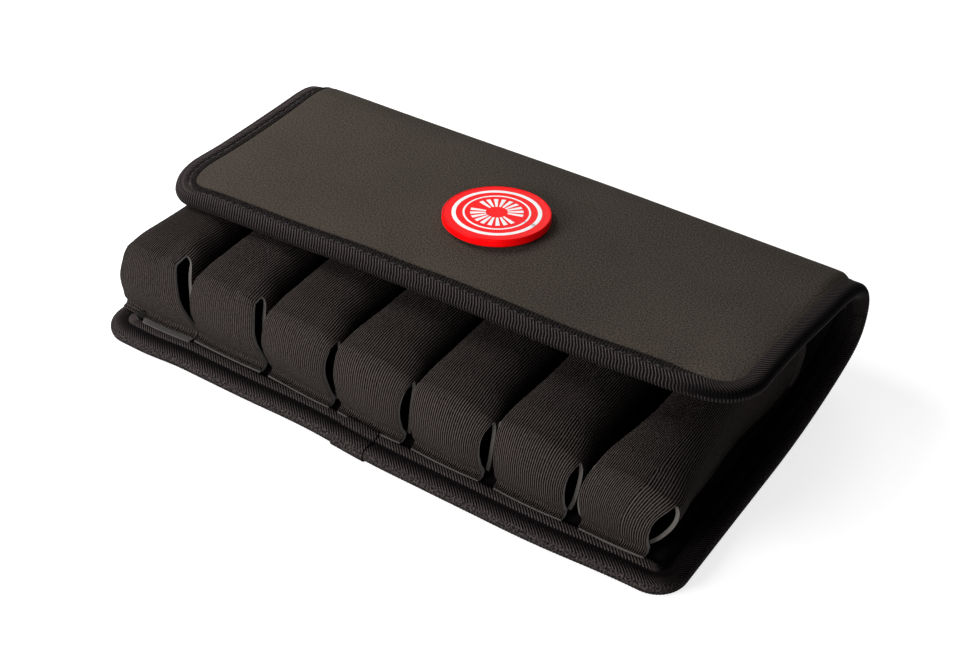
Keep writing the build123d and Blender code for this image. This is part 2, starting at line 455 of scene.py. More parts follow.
def cut_edge():
    """The cut edge of the pockets' cloth: paler layers with a fuzzy face."""
    finish = Finish("cut_edge", 0.95, Sheen_Weight=0.2, Specular_IOR_Level=0.2)
    fuzz = finish.noise(finish.solid(), 2.4, 3.0, 0.7)
    finish.paint(fuzz, (0.03, 0.026, 0.0235), (0.085, 0.077, 0.07))
    finish.bump(fuzz, 0.12)
    return finish.material


def tape_cloth():
    """Binding tape: ribs across the tape, with fine threads along it.

    Its mesh holds lay, a point's place along the ribs, a field of painted shade for its stitched
    groove and for the parts that lie in shade, and worn, how far the ribs break up into specks. The
    colour is darkened between the ribs as painted shade in their valleys.
    the ribs break up into specks.
    """
    finish = Finish("binding_tape", 0.8, Specular_IOR_Level=0.03)
    place = finish.place()
    rib = finish.ridges(finish.field("lay"), RIB, -math.pi / 2)
    # painted shade: this field darkens the stitched groove and the parts of the tape that lie in shade
    groove_and_painted_shade = finish.field("groove_and_painted_shade")
    worn = finish.field("worn")
    thread = finish.ridges(finish.part(place, 1), 0.34)
    fleck = finish.noise(place, 1.9, 3.0, 0.6)
    specks = ((fleck - 0.5) * 3.6 + 0.36).clamped() * 0.56
    # rib to the fifth power paints shade into the valleys between the ribs
    lit = rib**5.0 * (1.0 - worn) + specks * worn + (fleck - 0.5) * 0.6 + thread * 0.05
    light = (lit * (1.0 - groove_and_painted_shade)).clamped()
    finish.paint(light, (0.0008, 0.0006, 0.0007), (0.11, 0.0895, 0.087))
    finish.rough(0.66 + 0.16 * fleck)
    finish.bump(thread * 0.5 + fleck * 0.5, 0.035)
    return finish.material


def sewing_thread():
    """Sewing thread: black, twisted, slightly shiny."""
    finish = Finish("sewing_thread", 0.5, Specular_IOR_Level=0.5)
    place = finish.place()
    twist = finish.ridges(finish.part(place, 0) + finish.part(place, 1), 0.32)
    finish.paint(twist, (0.004, 0.0035, 0.0037), (0.022, 0.0195, 0.019))
    finish.bump(twist, 0.04)
    return finish.material


def foam():
    """Closed-cell foam, dark grey."""
    finish = Finish("foam", 0.85)
    cells = finish.node("TexVoronoi", Vector=finish.solid(), Scale=1.6)
    finish.paint(cells.clamped(), (0.03, 0.03, 0.032), (0.06, 0.06, 0.063))
    finish.bump(cells, 0.1)
    return finish.material


def gloss_plastic(name, deep, pale, grain, shine, coat):
    """Moulded glossy plastic with a faint unevenness under a clear skin."""
    finish = Finish(name, 0.3, Coat_Weight=coat, Coat_Roughness=0.12, Specular_IOR_Level=shine)
    ripple = finish.noise(finish.solid(), 0.22, 2.0)
    scuff = finish.noise(finish.solid(), 3.1, 4.0, 0.7)
    finish.paint(ripple, deep, pale)
    finish.rough(0.24 + grain * scuff)
    finish.bump(ripple * 0.7 + scuff * 0.3, 0.02)
    return finish.material


def touch_tape(name, dark, pale, pitch):
    """Hook or loop tape: a dense pile of small dots."""
    finish = Finish(name, 0.9, Sheen_Weight=0.15)
    cells = finish.node("TexVoronoi", Vector=finish.solid(), Scale=1 / pitch)
    finish.paint(cells.clamped(), pale, dark)
    finish.bump(1.0 - cells, 0.25)
    return finish.material


COVER = cover_cloth()
LINING = lining_cloth()
POCKET = pocket_cloth()
CUT = cut_edge()
TAPE = tape_cloth()
THREAD = sewing_thread()
FOAM = foam()
BADGE_RED = gloss_plastic("badge_red", (0.72, 0.001, 0.002), (0.84, 0.002, 0.003), 0.12, 0.04, 0.0)
BADGE_FACE = gloss_plastic("badge_face", (0.88, 0.014, 0.016), (0.95, 0.02, 0.022), 0.14, 0.08, 0.0)
BADGE_WHITE = gloss_plastic("badge_white", (0.82, 0.84, 0.84), (0.9, 0.9, 0.9), 0.14, 0.1, 0.0)
HOOKS = touch_tape("hook_tape", (0.004, 0.004, 0.004), (0.05, 0.05, 0.05), 1.2)
LOOPS = touch_tape("loop_tape", (0.01, 0.01, 0.01), (0.045, 0.045, 0.045), 0.7)


# ---- The padded sheet's shape ----

SHEET_STEPS = 1600
LEFT_CURVE = smooth_curve(LEFT_END, SHEET_STEPS)
RIGHT_CURVE = smooth_curve(RIGHT_END, SHEET_STEPS)
SHEET_AT = np.linspace(0, SHEET_LENGTH, SHEET_STEPS)


def sheet_face(x, s):
    """Outer face of the sheet at x along the case and s along its flat length.

    It goes straight across from the left end's curve to the right end's. The hem waves by up to
    2 mm, the back is puffed by 3 mm between the tapes, the lid's front edge waves by 1 mm, the lid
    rises by half a millimetre under the badge, and the left side's outline moves in at the hem's
    corner and out and in along the lid.
    """
    across = (x + HALF) / WIDTH
    left_y, left_z = (np.interp(s, SHEET_AT, axis) for axis in LEFT_CURVE.T)
    right_y, right_z = (np.interp(s, SHEET_AT, axis) for axis in RIGHT_CURVE.T)
    y = blend(left_y, right_y, across)
    z = blend(left_z, right_z, across)
    # Straight on past both ends
    y = y + np.minimum(s, 0) - np.maximum(s - SHEET_LENGTH, 0)
    # The hem's wave
    hem = 1 - ease(s / 34)
    bay = 0.5 * hump(x, -24, 14) - 1.0 * ease((x + 18) / 30) * (1 - ease((x - 50) / 45))
    y = y + hem * (bay - 0.85 + 0.9 * ease((x - 60) / 35) - 1.1 * ease((-66 - x) / 20))
    # The puffed back, square to its slope
    puffed = 1.7 * ease((x + 103.5) / 8) + 1.3 * ease((x + 100) / 130) - 1.7 * ease((x - 96) / 5)
    swollen = puffed * hump(s, 147, 24)
    y = y + 0.615 * swollen
    z = np.maximum(z, 0) + 0.789 * swollen
    # The lid's drooping left end, waved front edge, uneven face and raised place under the badge
    lid = ease((s - 140) / 25)
    forward = ease((s - 175) / 45)
    droop = 1.1 * ease((-82 - x) / 22)
    waves = 0.9 * hump(x, -25, 17) + 0.5 * hump(x, 4, 13) - 1.05 * hump(x, 50, 21)
    swell = forward * (waves + 1.1 * ease((x - 80) / 14))
    soft = 0.16 * np.sin(x / 17 + 1.3 * np.sin(s / 23)) + 0.12 * np.sin(s / 13 + x / 41)
    seat = 0.5 * hump(x, BADGE_X, 26) * hump(s, 193, 22)
    z = z + lid * (swell - droop + soft + seat)
    # The outline's two sides
    lid_shift = 0.25 * ease((s - 150) / 20) - 0.9 * hump(s, 214, 9) + 1.2 * ease((s - 213) / 14)
    hem_shift = 3.4 * (1 - ease((s - 12) / 40))
    left = ease((-68 - x) / 34) * (hem_shift + lid_shift)
    return np.stack([x + 1.05 * ease((x - 68) / 34) + left + 0 * y, y, z], axis=-1)


def sheet_frame(x, s):
    """The outer face's points and its outward normals: (along s) x (along x)."""
    step = 0.4
    x, s = np.broadcast_arrays(np.asarray(x, float), np.asarray(s, float))
    point = sheet_face(x, s)
    along = sheet_face(x, s + step) - sheet_face(x, s - step)
    across = sheet_face(x + step, s) - sheet_face(x - step, s)
    normal = np.cross(along, across)
    return point, normal / np.linalg.norm(normal, axis=-1, keepdims=True)


def sheet_depth(x, s, depth):
    """Points at a depth below the outer face."""
    point, normal = sheet_frame(x, s)
    return point - np.asarray(depth)[..., None] * normal


def half_width(s, inset):
    """Half of a layer's width at s: inset from the edge, with each end's corners rounded."""
    near = np.minimum(s, SHEET_LENGTH - s) - inset
    corner = np.where(s < SHEET_MIDDLE, HEM_CORNER, LID_CORNER) - inset
    short = np.clip(corner - near, 0, corner)
    return HALF - inset - corner + np.sqrt(corner**2 - short**2)


def layer(name, first, last, inset, outer, inner, finish, columns=150, rows=130, valley=0.0):
    """One layer of the sheet between two depths, from first to last along its flat length.

    Where the binding presses it, within some 3 mm of the tape's edge, it sinks by up to valley.
    """
    s = np.linspace(first, last, rows)[:, None] * np.ones(columns)
    spread = np.sin(np.linspace(-math.pi / 2, math.pi / 2, columns))
    x = spread * half_width(s, inset)
    margin = np.minimum(HALF - np.abs(x), np.minimum(s, SHEET_LENGTH - s))
    pressed = valley * np.exp(-np.clip(margin - 6.2, 0, None) / 1.5)
    sheet = sheet_depth(x, s, outer + pressed)
    under = sheet_depth(x, s, inner)
    # Rows run along s and columns along x, so (columns x rows) faces into the case.
    points, faces = closed_skin(sheet[:, ::-1], under[:, ::-1])
    flat = np.stack([x[:, ::-1], s[:, ::-1]], axis=-1).reshape(-1, 2)
    return make_mesh(name, points, faces, [finish], uv=np.concatenate([flat, flat]), sharp=50)


def bend_lower(piece):
    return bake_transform(piece)


def bend_upper(piece):
    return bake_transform(piece)


HALVES = (
    ("lower", 0.0, SHEET_MIDDLE, bend_lower, ("base", "lower_fold", "back")),
    ("upper", SHEET_MIDDLE, SHEET_LENGTH, bend_upper, ("upper_fold", "lid")),
)
EDGE_INSET = 3.0

for half, first, last, bend, places in HALVES:
    low = first + (EDGE_INSET if half == "lower" else 0)
    high = last - (EDGE_INSET if half == "upper" else 0)
    for part, slot, outer, inner, finish, valley in (
        ("cover", "shell_cloth", COVER_DEPTH, COVER_DEPTH + CLOTH, COVER, 0.55),
        ("foam", "foam", COVER_DEPTH + CLOTH, LINING_DEPTH - CLOTH, FOAM, 0.0),
        ("lining", "lining_cloth", LINING_DEPTH - CLOTH, LINING_DEPTH, LINING, 0.0),
    ):
        piece = layer(f"sheet_{part}_{half}", low, high, EDGE_INSET, outer, inner, finish, valley=valley)
        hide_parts(*[f"{place}_{part}" for place in places])
        bend(piece)


# ---- Binding tape ----


def rim_length(reach, upper):
    """Length of one half's edge: two sides from the middle, two quarter rounds and an end."""
    corner = LID_CORNER if upper else HEM_CORNER
    return 2 * (reach - corner) + math.pi * corner + 2 * (HALF - corner)


def rim_place(q, inset, reach, upper):
    """(x, s) at q along the edge of one half and inset in from it.

    The edge runs down the left side, round a corner, along the end, and back up the right side.
    """
    corner = LID_CORNER if upper else HEM_CORNER
    side = reach - corner
    turn = math.pi * corner / 2
    marks = np.cumsum([0, side, turn, 2 * (HALF - corner), turn, side])
    angle = np.radians(np.interp(q, marks, (0, 0, 90, 90, 180, 180)))
    inner = HALF - corner
    centre_x = np.interp(q, marks, (-inner, -inner, -inner, inner, inner, inner))
    centre_s = np.interp(q, marks, (reach, corner, corner, corner, corner, reach))
    x = centre_x - (corner - inset) * np.cos(angle)
    s = centre_s - (corner - inset) * np.sin(angle)
    return x, (SHEET_LENGTH - s if upper else s)


def rim_points(q, inset, depth, reach, upper):
    """Points at q along the edge, inset in from it and depth below the sheet's outer face."""
    x, s = rim_place(q, inset, reach, upper)
    point, normal = sheet_frame(x, s)
    return point - depth[..., None] * normal


def tape_section(groove, width):
    """Half of the tape's section as (inset, depth): lip, stitched groove, and roll to the edge."""
    return (
        (width, 1.0), (width + 0.02, 0.55), (width - 0.55, 0.14), ((width + groove) / 2, 0.2),
        (groove + 0.55, 0.3), (groove, 0.85), (groove - 0.6, 0.28), (groove * 0.55 + 0.3, 0.02),
        (1.5, 0.14), (0.45, 0.95),
    )


def hem_section(groove, width):
    """The same on the hem's inner face, where the leg rises from the groove towards the pockets."""
    return (
        (width, 1.0), (width + 0.05, 0.2), (width - 0.5, -0.45), (width - 1.6, -0.4), (groove + 0.9, 0.05),
        (groove, 0.8), (groove - 0.6, 0.3), (groove * 0.6, 0.02), (1.5, 0.14), (0.45, 0.95),
    )


# Half of the section where the tape's lip is buried beside the cloth: a wide band
BURIED_SECTION = (
    (6.7, 1.5), (6.6, 1.2), (6.4, 0.95), (6.1, 0.7), (5.7, 0.42), (5.2, 0.22), (4.4, 0.08), (3.0, 0.0),
    (1.5, 0.16), (0.45, 0.95),
)
# The tape's core, its groove where the lip is buried, how far its groove, lip and rim reach, and
# how strongly these are given painted shade and worn
TAPE_CORE = 5.0
BURIED_GROOVE = 6.5
GROOVE_REACH = 0.5
LIP_REACH = 0.6
RIM_REACH = 3.6
SHADE = 0.62
WEAR = 0.85
RIM_WEAR = 0.92


def tape_profile(over, inner, count):
    """The tape's shown section from its lip on the outer face, round the edge, to the inner lip."""
    under = [(inset, BOUND - depth) for inset, depth in reversed(inner)]
    return smooth_curve([*over, (0.0, BOUND / 2), *under], count)


def buried(q, reach, upper):
    """How far the lid tape's lip is buried: none along the front, all of it along the right side."""
    x, _ = rim_place(q, 0.0, reach, upper)
    return ease((x - 77) / 17) * upper


def wobble(q, seed):
    """A slow, even wander of about 1 along a length, as three sine waves."""
    return np.sin(q / 19 + seed) * 0.5 + np.sin(q / 7.3 + 2.1 * seed) * 0.3 + np.sin(q / 3.1 + seed) * 0.2


def tape_sections(q, reach, upper, outer, inner, columns):
    """The shown section as (inset, depth) at each q, with its unit normals out of the tape."""
    inner_half = tape_section(*inner) if upper else hem_section(*inner)
    lipped = tape_profile(tape_section(*outer), inner_half, columns)
    banded = tape_profile(BURIED_SECTION, inner_half, columns)
    section = blend(lipped, banded, buried(q, reach, upper)[..., None])
    out = normals_2d(section, 1)
    from_core = section[0] - (TAPE_CORE, BOUND / 2)
    return section, out * np.sign((out[0] * from_core).sum())


def tape_marks(q, section, reach, upper, groove, inner_groove):
    """Where a tape's groove lies, where it gets painted shade, where it is worn and where rimmed, each
    from 0 to 1 at every point of it.

    Its stitched groove is sunk, and it is worn there, on its lip and on the hem's rim, where the ribs
    are flat. Painted shade darkens the lip, the rim of the outer face and the buried band; on the lid
    the whole face that looks into the case; on the hem that face a little, more beside its groove
    and on its leg along the right side, and the whole tape along the hem's right side.
    """
    inset, depth = section[..., 0], section[..., 1]
    over = depth < BOUND / 2
    sinking = buried(q, reach, upper)
    middle = blend(groove, BURIED_GROOVE, sinking)
    groove_and_painted_shade = hump(inset, np.where(over, middle, inner_groove), GROOVE_REACH)
    lip = ease((inset - middle) / LIP_REACH) * (1 - sinking)
    worn = WEAR * np.where(over, np.maximum(lip, groove_and_painted_shade), groove_and_painted_shade)
    # Painted shade on the outer face: on the lip, towards the rim and along the buried band
    outer_shade = SHADE * np.maximum(lip, ease(1 - inset / RIM_REACH)) + 0.42 * sinking
    if upper:
        # On the lid the face that looks into the case gets an even painted shade
        return groove_and_painted_shade, np.where(over, outer_shade, 0.7), worn, 0.0
    edge_x, _ = rim_place(q, 0.0, reach, upper)
    # Painted shade on the hem: its inner face a little, more beside its groove and on its leg along the right
    # side, and the whole tape along the right side
    leg = ease((inset - inner_groove) / LIP_REACH) * ease((edge_x - 98) / 6)
    slot_painted_shade = 0.4 * hump(inset, inner_groove - 1.5, 1.3)
    side = 0.5 * ease((edge_x - 99) / 5)
    shaded = 1 - (1 - np.where(over, outer_shade, 0.22 + 0.65 * leg + slot_painted_shade)) * (1 - side)
    rimmed = ease((4.6 - depth) / 0.7) * (inset < 3)
    return groove_and_painted_shade, shaded, np.maximum(worn, RIM_WEAR * rimmed), rimmed


def tape(name, reach, upper, outer, inner, start=0.0, stop=None, proud=0.0, columns=40):
    """Binding tape on one half's edge, with a raised rib each RIB along it.

    A shown point is the section's point at that inset and depth, moved in by RIB_HEIGHT
    (0.5 + 0.5 cos) of its place along the leaning ribs, and in at each stitch's ends. The ribs end
    within three columns of both lips, and a hidden return closes the tape inside.
    """
    stop = rim_length(reach, upper) if stop is None else stop
    q = np.append(np.arange(start, stop - 0.1, RIB / RIB_STEPS), stop)[:, None]
    section, out = tape_sections(q, reach, upper, outer, inner, columns)
    groove_and_painted_shade, shaded, worn, rimmed = tape_marks(q, section, reach, upper, outer[0], inner[0])
    over = section[..., 1] < BOUND / 2
    leaning = np.clip(section[..., 0] - 0.8, 0, 4.5 if upper else 9.0)
    skew = LID_SKEW * leaning * over if upper else HEM_SKEW * leaning * ~over
    rib = 0.5 - 0.5 * np.cos(2 * math.pi * (q + skew) / RIB)
    column = np.arange(columns)
    ends = np.clip(np.minimum(column, column[::-1]) / 3, 0, 1)
    pull = (0.12 if upper else 0.3) * groove_and_painted_shade * (0.5 + 0.5 * np.cos(2 * math.pi * q / STITCH))
    height = RIB_HEIGHT * (1 - 0.55 * buried(q, reach, upper)) * (1 - 0.8 * rimmed)
    lift = height * (rib - 1) * ends * (1 - 0.4 * groove_and_painted_shade) - pull + proud
    waver = 0.12 * wobble(q, 1.0 + upper) * hump(section[..., 0], 3.5, 2.5)
    inset = section[..., 0] + out[..., 0] * lift + waver
    depth = section[..., 1] + out[..., 1] * lift
    shown = rim_points(q, inset, depth, reach, upper)
    shown[..., 2] = np.maximum(shown[..., 2], 0)
    lips = (inner[1] - 0.4, BOUND - 1.3), (outer[1] - 0.4, 1.3)
    back = np.array([lips[0], (2.0, BOUND - 1.2), (1.2, BOUND / 2), (2.0, 1.2), lips[1]])
    hidden = rim_points(q, back[:, 0], back[:, 1], reach, upper)
    ring = np.concatenate([shown, hidden], axis=1)
    rows, width = ring.shape[:2]
    index = np.arange(rows * width).reshape(rows, width)
    faces = quads(np.concatenate([index, index[:, :1]], axis=1))
    if upper:
        faces = faces[:, ::-1]
    across = np.concatenate([np.linspace(0, 16, columns), 16 + np.arange(1, len(back) + 1) * 2.0]) + 0 * q
    unseen = np.zeros((rows, len(back)))
    # The colour field holds painted shade: the stitched groove's, and the shaded parts' from tape_marks
    fields = {"lay": q + skew, "groove_and_painted_shade": np.maximum(0.65 * groove_and_painted_shade, shaded), "worn": worn}
    piece = make_mesh(
        name, ring, faces, [TAPE],
        uv=np.stack([q + 0 * across, across], axis=-1),
        fields={key: np.concatenate([values, unseen], axis=1) for key, values in fields.items()},
    )
    return cap_ends(piece, index[0], index[-1])


def cap_ends(piece, first, last):
    """Closes both ends of a tube with a face each, on points of its own, so its shading is kept."""

    def cap(shape):
        shape.verts.ensure_lookup_table()
        places = [[shape.verts[int(i)].co.copy() for i in ring] for ring in (first, last[::-1])]
        for ring in places:
            shape.faces.new([shape.verts.new(place) for place in ring])

    return reshape(piece, cap)


def stitch_row(name, reach, upper, inset, depth, inner_face):
    """Lockstitches in the tape's groove: each a small spindle of thread, one every STITCH.

    Each is six points round by five along. From one end to the other its radius is 0.06 + 0.2 sin,
    and it rises by 0.12 sin.
    """
    count = int(rim_length(reach, upper) / STITCH)
    along = np.linspace(0, 1, 5)
    around = np.linspace(0, 2 * math.pi, 6, endpoint=False)
    q = (np.arange(count)[:, None, None] + 0.14 + 0.72 * along[None, :, None]) * STITCH
    radius = 0.06 + 0.2 * np.sin(math.pi * along)[None, :, None]
    level = depth - 0.12 * np.sin(math.pi * along)[None, :, None]
    side = 0 * q if inner_face else buried(q, reach, upper)
    a = inset + 1.6 * side + radius * np.cos(around)
    h = level + 0.35 * side + radius * np.sin(around)
    if inner_face:
        h = BOUND - h
    q, a, h = np.broadcast_arrays(q, a, h)
    points = rim_points(q, a, h, reach, upper)
    index = np.arange(points[..., 0].size).reshape(count, 5, 6)
    index = np.concatenate([index, index[:, :, :1]], axis=2)
    corners = [index[:, :-1, :-1], index[:, :-1, 1:], index[:, 1:, 1:], index[:, 1:, :-1]]
    sides = np.stack(corners, axis=-1).reshape(-1, 4)
    ends = [index[:, 0, :4], index[:, 0, [0, 3, 4, 5]], index[:, -1, 3::-1], index[:, -1, [5, 4, 3, 0]]]
    faces = np.concatenate([sides, *ends])
    piece = make_mesh(name, points, faces, [THREAD], uv=np.stack([q, h], axis=-1))
    return reshape(piece, turn_out)


# (groove, width) of the tape on the hem's outer and inner faces and on the lid's two faces
HEM_TAPE = (3.5, 7.5)
HEM_INNER = (5.3, 9.3)
LID_TAPE = (5.0, 7.7)
UPPER_REACH = SHEET_LENGTH - SHEET_MIDDLE

binding_lower = tape("binding_lower", SHEET_MIDDLE, False, HEM_TAPE, HEM_INNER)
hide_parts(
    "base_binding", "lower_fold_binding_left", "lower_fold_binding_right",
    "back_binding_left", "back_binding_right",
)
bend_lower(binding_lower)

binding_upper = tape("binding_upper", UPPER_REACH, True, LID_TAPE, LID_TAPE)
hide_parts("lid_binding", "upper_fold_binding_left", "upper_fold_binding_right")
bend_upper(binding_upper)

for label, reach, upper, groove, bend in (
    ("lower", SHEET_MIDDLE, False, (HEM_TAPE[0], HEM_INNER[0]), bend_lower),
    ("upper", UPPER_REACH, True, (LID_TAPE[0], LID_TAPE[0]), bend_upper),
):
    for face, inner_face in (("outside", False), ("inside", True)):
        row = stitch_row(f"stitches_{label}_{face}", reach, upper, groove[inner_face], 0.85, inner_face)
        bend(row)

# The tape's two ends meet at the middle of the front hem, one laid over the other
HEM_CENTRE = rim_length(SHEET_MIDDLE, False) / 2
LAP = {"start": HEM_CENTRE - 8 * RIB, "stop": HEM_CENTRE + 4 * RIB, "proud": 0.5}
tape_lap = tape("binding_lap", SHEET_MIDDLE, False, HEM_TAPE, HEM_INNER, **LAP)
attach(tape_lap, "base")


# ---- Pockets ----

# A pocket's section from its left foot to its right one: where the tunnel is free, and at the front
# fold, where its shoulders are the ends of the tab
FREE_SECTION = (
    (-12.6, 4.4), (-13.4, 10), (-13.7, 16), (-13.4, 22), (-12.9, 27), (-11.6, 30.6), (-8.2, 32.4), (-3, 33),
    (3, 32.9), (7.8, 31.4), (11.2, 28.2), (12.9, 24), (13.6, 19), (13.5, 14), (13.2, 9), (12.5, 4.4),
)
FOLD_SECTION = (
    (-12.6, 4.4), (-13.4, 10), (-13.6, 16), (-13.2, 22), (-12.7, 27), (-11.8, 30.8), (-8.6, 32.3), (-3, 33),
    (3, 32.8), (9, 31.2), (13.2, 28.4), (14, 25), (13.9, 20), (13.5, 14), (13.1, 9), (12.4, 4.4),
)
FOLD_LEFT, FOLD_RIGHT = (-11.8, 30.8), (13.2, 28.4)
SECTION_TOP = 33.0
SECTION_FOOT = 4.4
SECTION_STEPS = 76
TUNNEL_ROWS = 46
TAB_ROWS = 40
TAB_MIDDLE = 20
# How far each pocket's cloth lies along the roll from the one before, so that no two look alike
CLOTH_SHIFT = 100
# (Y, Z) of the tab's outer face along its middle, from the front fold to its sewn toe
TAB_LINE = (
    (-50, 31.5), (-51.7, 30.2), (-53.1, 28), (-54.3, 23.5), (-54.9, 17.5), (-54.6, 11.5), (-53.4, 7.4),
    (-52.9, 6.1), (-53.4, 5.5), (-54.6, 5.3),
)
CROWN_DROP = 1.5
# The toe's three rows under the tab's last one: turned under, or with TOE_STRIP added in front
TOE_UNDER = ((0, -0.25, -0.45), (0, 0.3, -0.8), (0, 1.0, -0.8))
TOE_AHEAD = ((0, -0.25, -0.45), (0, -0.3, -0.15), (0, -0.3, 0.0))
TOE_TRIM = 0.4
# Column of the tab from which its toe sticks out; before it the toe is turned under
TOE_STARTS = (6, -2, -2, -2, -2, -2, -2)

FREE = smooth_curve(FREE_SECTION, SECTION_STEPS)
FOLD = smooth_curve(FOLD_SECTION, SECTION_STEPS)
LEFT_END_OF_TAB, RIGHT_END_OF_TAB = (
    int(np.argmin(np.linalg.norm(FOLD - shoulder, axis=1))) for shoulder in (FOLD_LEFT, FOLD_RIGHT)
)


def lining_height(x, y):
    """Height of the lining over the table, where the pockets stand on it."""
    s = np.clip(y - FRONT, 0, 100)
    return sheet_face(x, s)[..., 2] + LINING_DEPTH + 0.1


def tunnel_rows(number, y):
    """Points of a pocket's outer face at each y.

    The section turns from the fold's to the free one over 16 mm. Its shoulders and feet shift, its
    right wall spreads beside the slit, its crown bends down over the last 9 mm, and its feet tuck in
    behind the tab. The last pocket is drawn in along its middle.
    """
    middle = POCKET_MIDDLES[number]
    y = y[:, None]
    near = ease((y - POCKET_FRONT) / 16)
    x = blend(FOLD[:, 0], FREE[:, 0], near)
    z = blend(FOLD[:, 1], FREE[:, 1], near)
    level = np.clip((z - SECTION_FOOT) / (SECTION_TOP - SECTION_FOOT), 0, 1)
    right = ease((x + 11) / 23)
    last = number == POCKETS - 1
    fade = hump(y, POCKET_FRONT, 22 if last else 15)
    turn = LEFT_TURN[number] * ease((y - POCKET_FRONT) / 28) * (1 - right)
    shoulder = blend(LEFT_TOP[number], RIGHT_TOP[number], right) + turn
    lean = blend(FOOT_LEAN[number], shoulder, ease(level)) * (1 - 0.5 * ease((y + 20) / 50))
    spread = RIGHT_SPREAD[number] * np.sin(math.pi * level**1.6) - FOOT_CURL[number] * (1 - level) ** 5
    pinch = 1 - (0.1 if last else 0.0) * hump(y, -2, 24)
    x = x * pinch + lean + right * spread * fade * (level < 0.97)
    if last:
        x = x - 1.5 * right * hump(y, 6, 16) * (1 - level) ** 1.2
    bend = CROWN_DROP * ease((-41 - y) / 11) * ease((level - 0.7) / 0.3)
    sag = 1.5 * ease((y + 10) / 40)
    rise = TOP_HEIGHT[number] - sag - SECTION_FOOT
    foot = lining_height(middle + x, y + 0 * x) - SECTION_FOOT
    ripple = 0.15 * np.sin(y / 9 + 1.7 * number + 3 * level) * np.sin(math.pi * level)
    high_right = ease((x - lean - 3) / 7) * ease((level - 0.6) / 0.25)
    lift = RIGHT_RISE[number] * high_right * hump(y, POCKET_FRONT, 15)
    height = SECTION_FOOT + foot + level * (rise - foot) + ripple - bend + lift
    tuck = 1.8 * (1 - level) ** 3 * hump(y, POCKET_FRONT, 9)
    return np.stack([middle + x, y + tuck, height], axis=-1)


def through_three(share, first, middle, last):
    """The parabola that is first at 0, middle at 0.45 and last at 0.85, held from there on."""
    t = np.minimum(share, 0.85)
    return (
        first * (t - 0.45) * (t - 0.85) / (0.45 * 0.85)
        - middle * t * (t - 0.85) / (0.45 * 0.4)
        + last * t * (t - 0.45) / (0.85 * 0.4)
    )


def tab_rows(number, crest):
    """Points of the tab: crest, the tunnel's front row, carried along TAB_LINE.

    Its two edges are parabolas through their places at the fold, halfway and near the foot, and
    the crest's own shape across fades over its upper half.
    """
    line = smooth_curve(TAB_LINE, TAB_ROWS)
    down = np.linspace(0, 1, TAB_ROWS)[:, None]
    middle = POCKET_MIDDLES[number]
    left = through_three(down, crest[0, 0], *(middle + edge for edge in TAB_LEFT[number]))
    right = through_three(down, crest[-1, 0], *(middle + edge for edge in TAB_RIGHT[number]))
    share = (crest[:, 0] - crest[0, 0]) / (crest[-1, 0] - crest[0, 0])
    x = blend(left, right, share)
    top = crest[:, 2].max()
    rise = (top - line[-1, 1]) / (line[0, 1] - line[-1, 1])
    z = line[-1, 1] + (line[:, 1:] - line[-1, 1]) * rise
    z = z + (crest[:, 2] - top) * (1 - ease(down * 2.2))
    off = 2 * share - 1
    bow = 0.9 * off**2 * ease(down * 4) * (1 - 0.6 * ease((down - 0.7) / 0.3))
    wave = 0.35 * np.sin(down * 5 + 1.3 * number) * np.sin(off * 2 + number) * np.sin(math.pi * down)
    hem_shift = sheet_face(x, 0 * x)[..., 1] - FRONT
    back = (2.0 + 1.2 * (1 - ease((x + 45) / 30))) * ease((down - 0.4) / 0.5)
    y = line[:, :1] + bow + wave + back + hem_shift * ease((down - 0.35) / 0.5) * 0.5
    return np.stack([x, y, z], axis=-1)


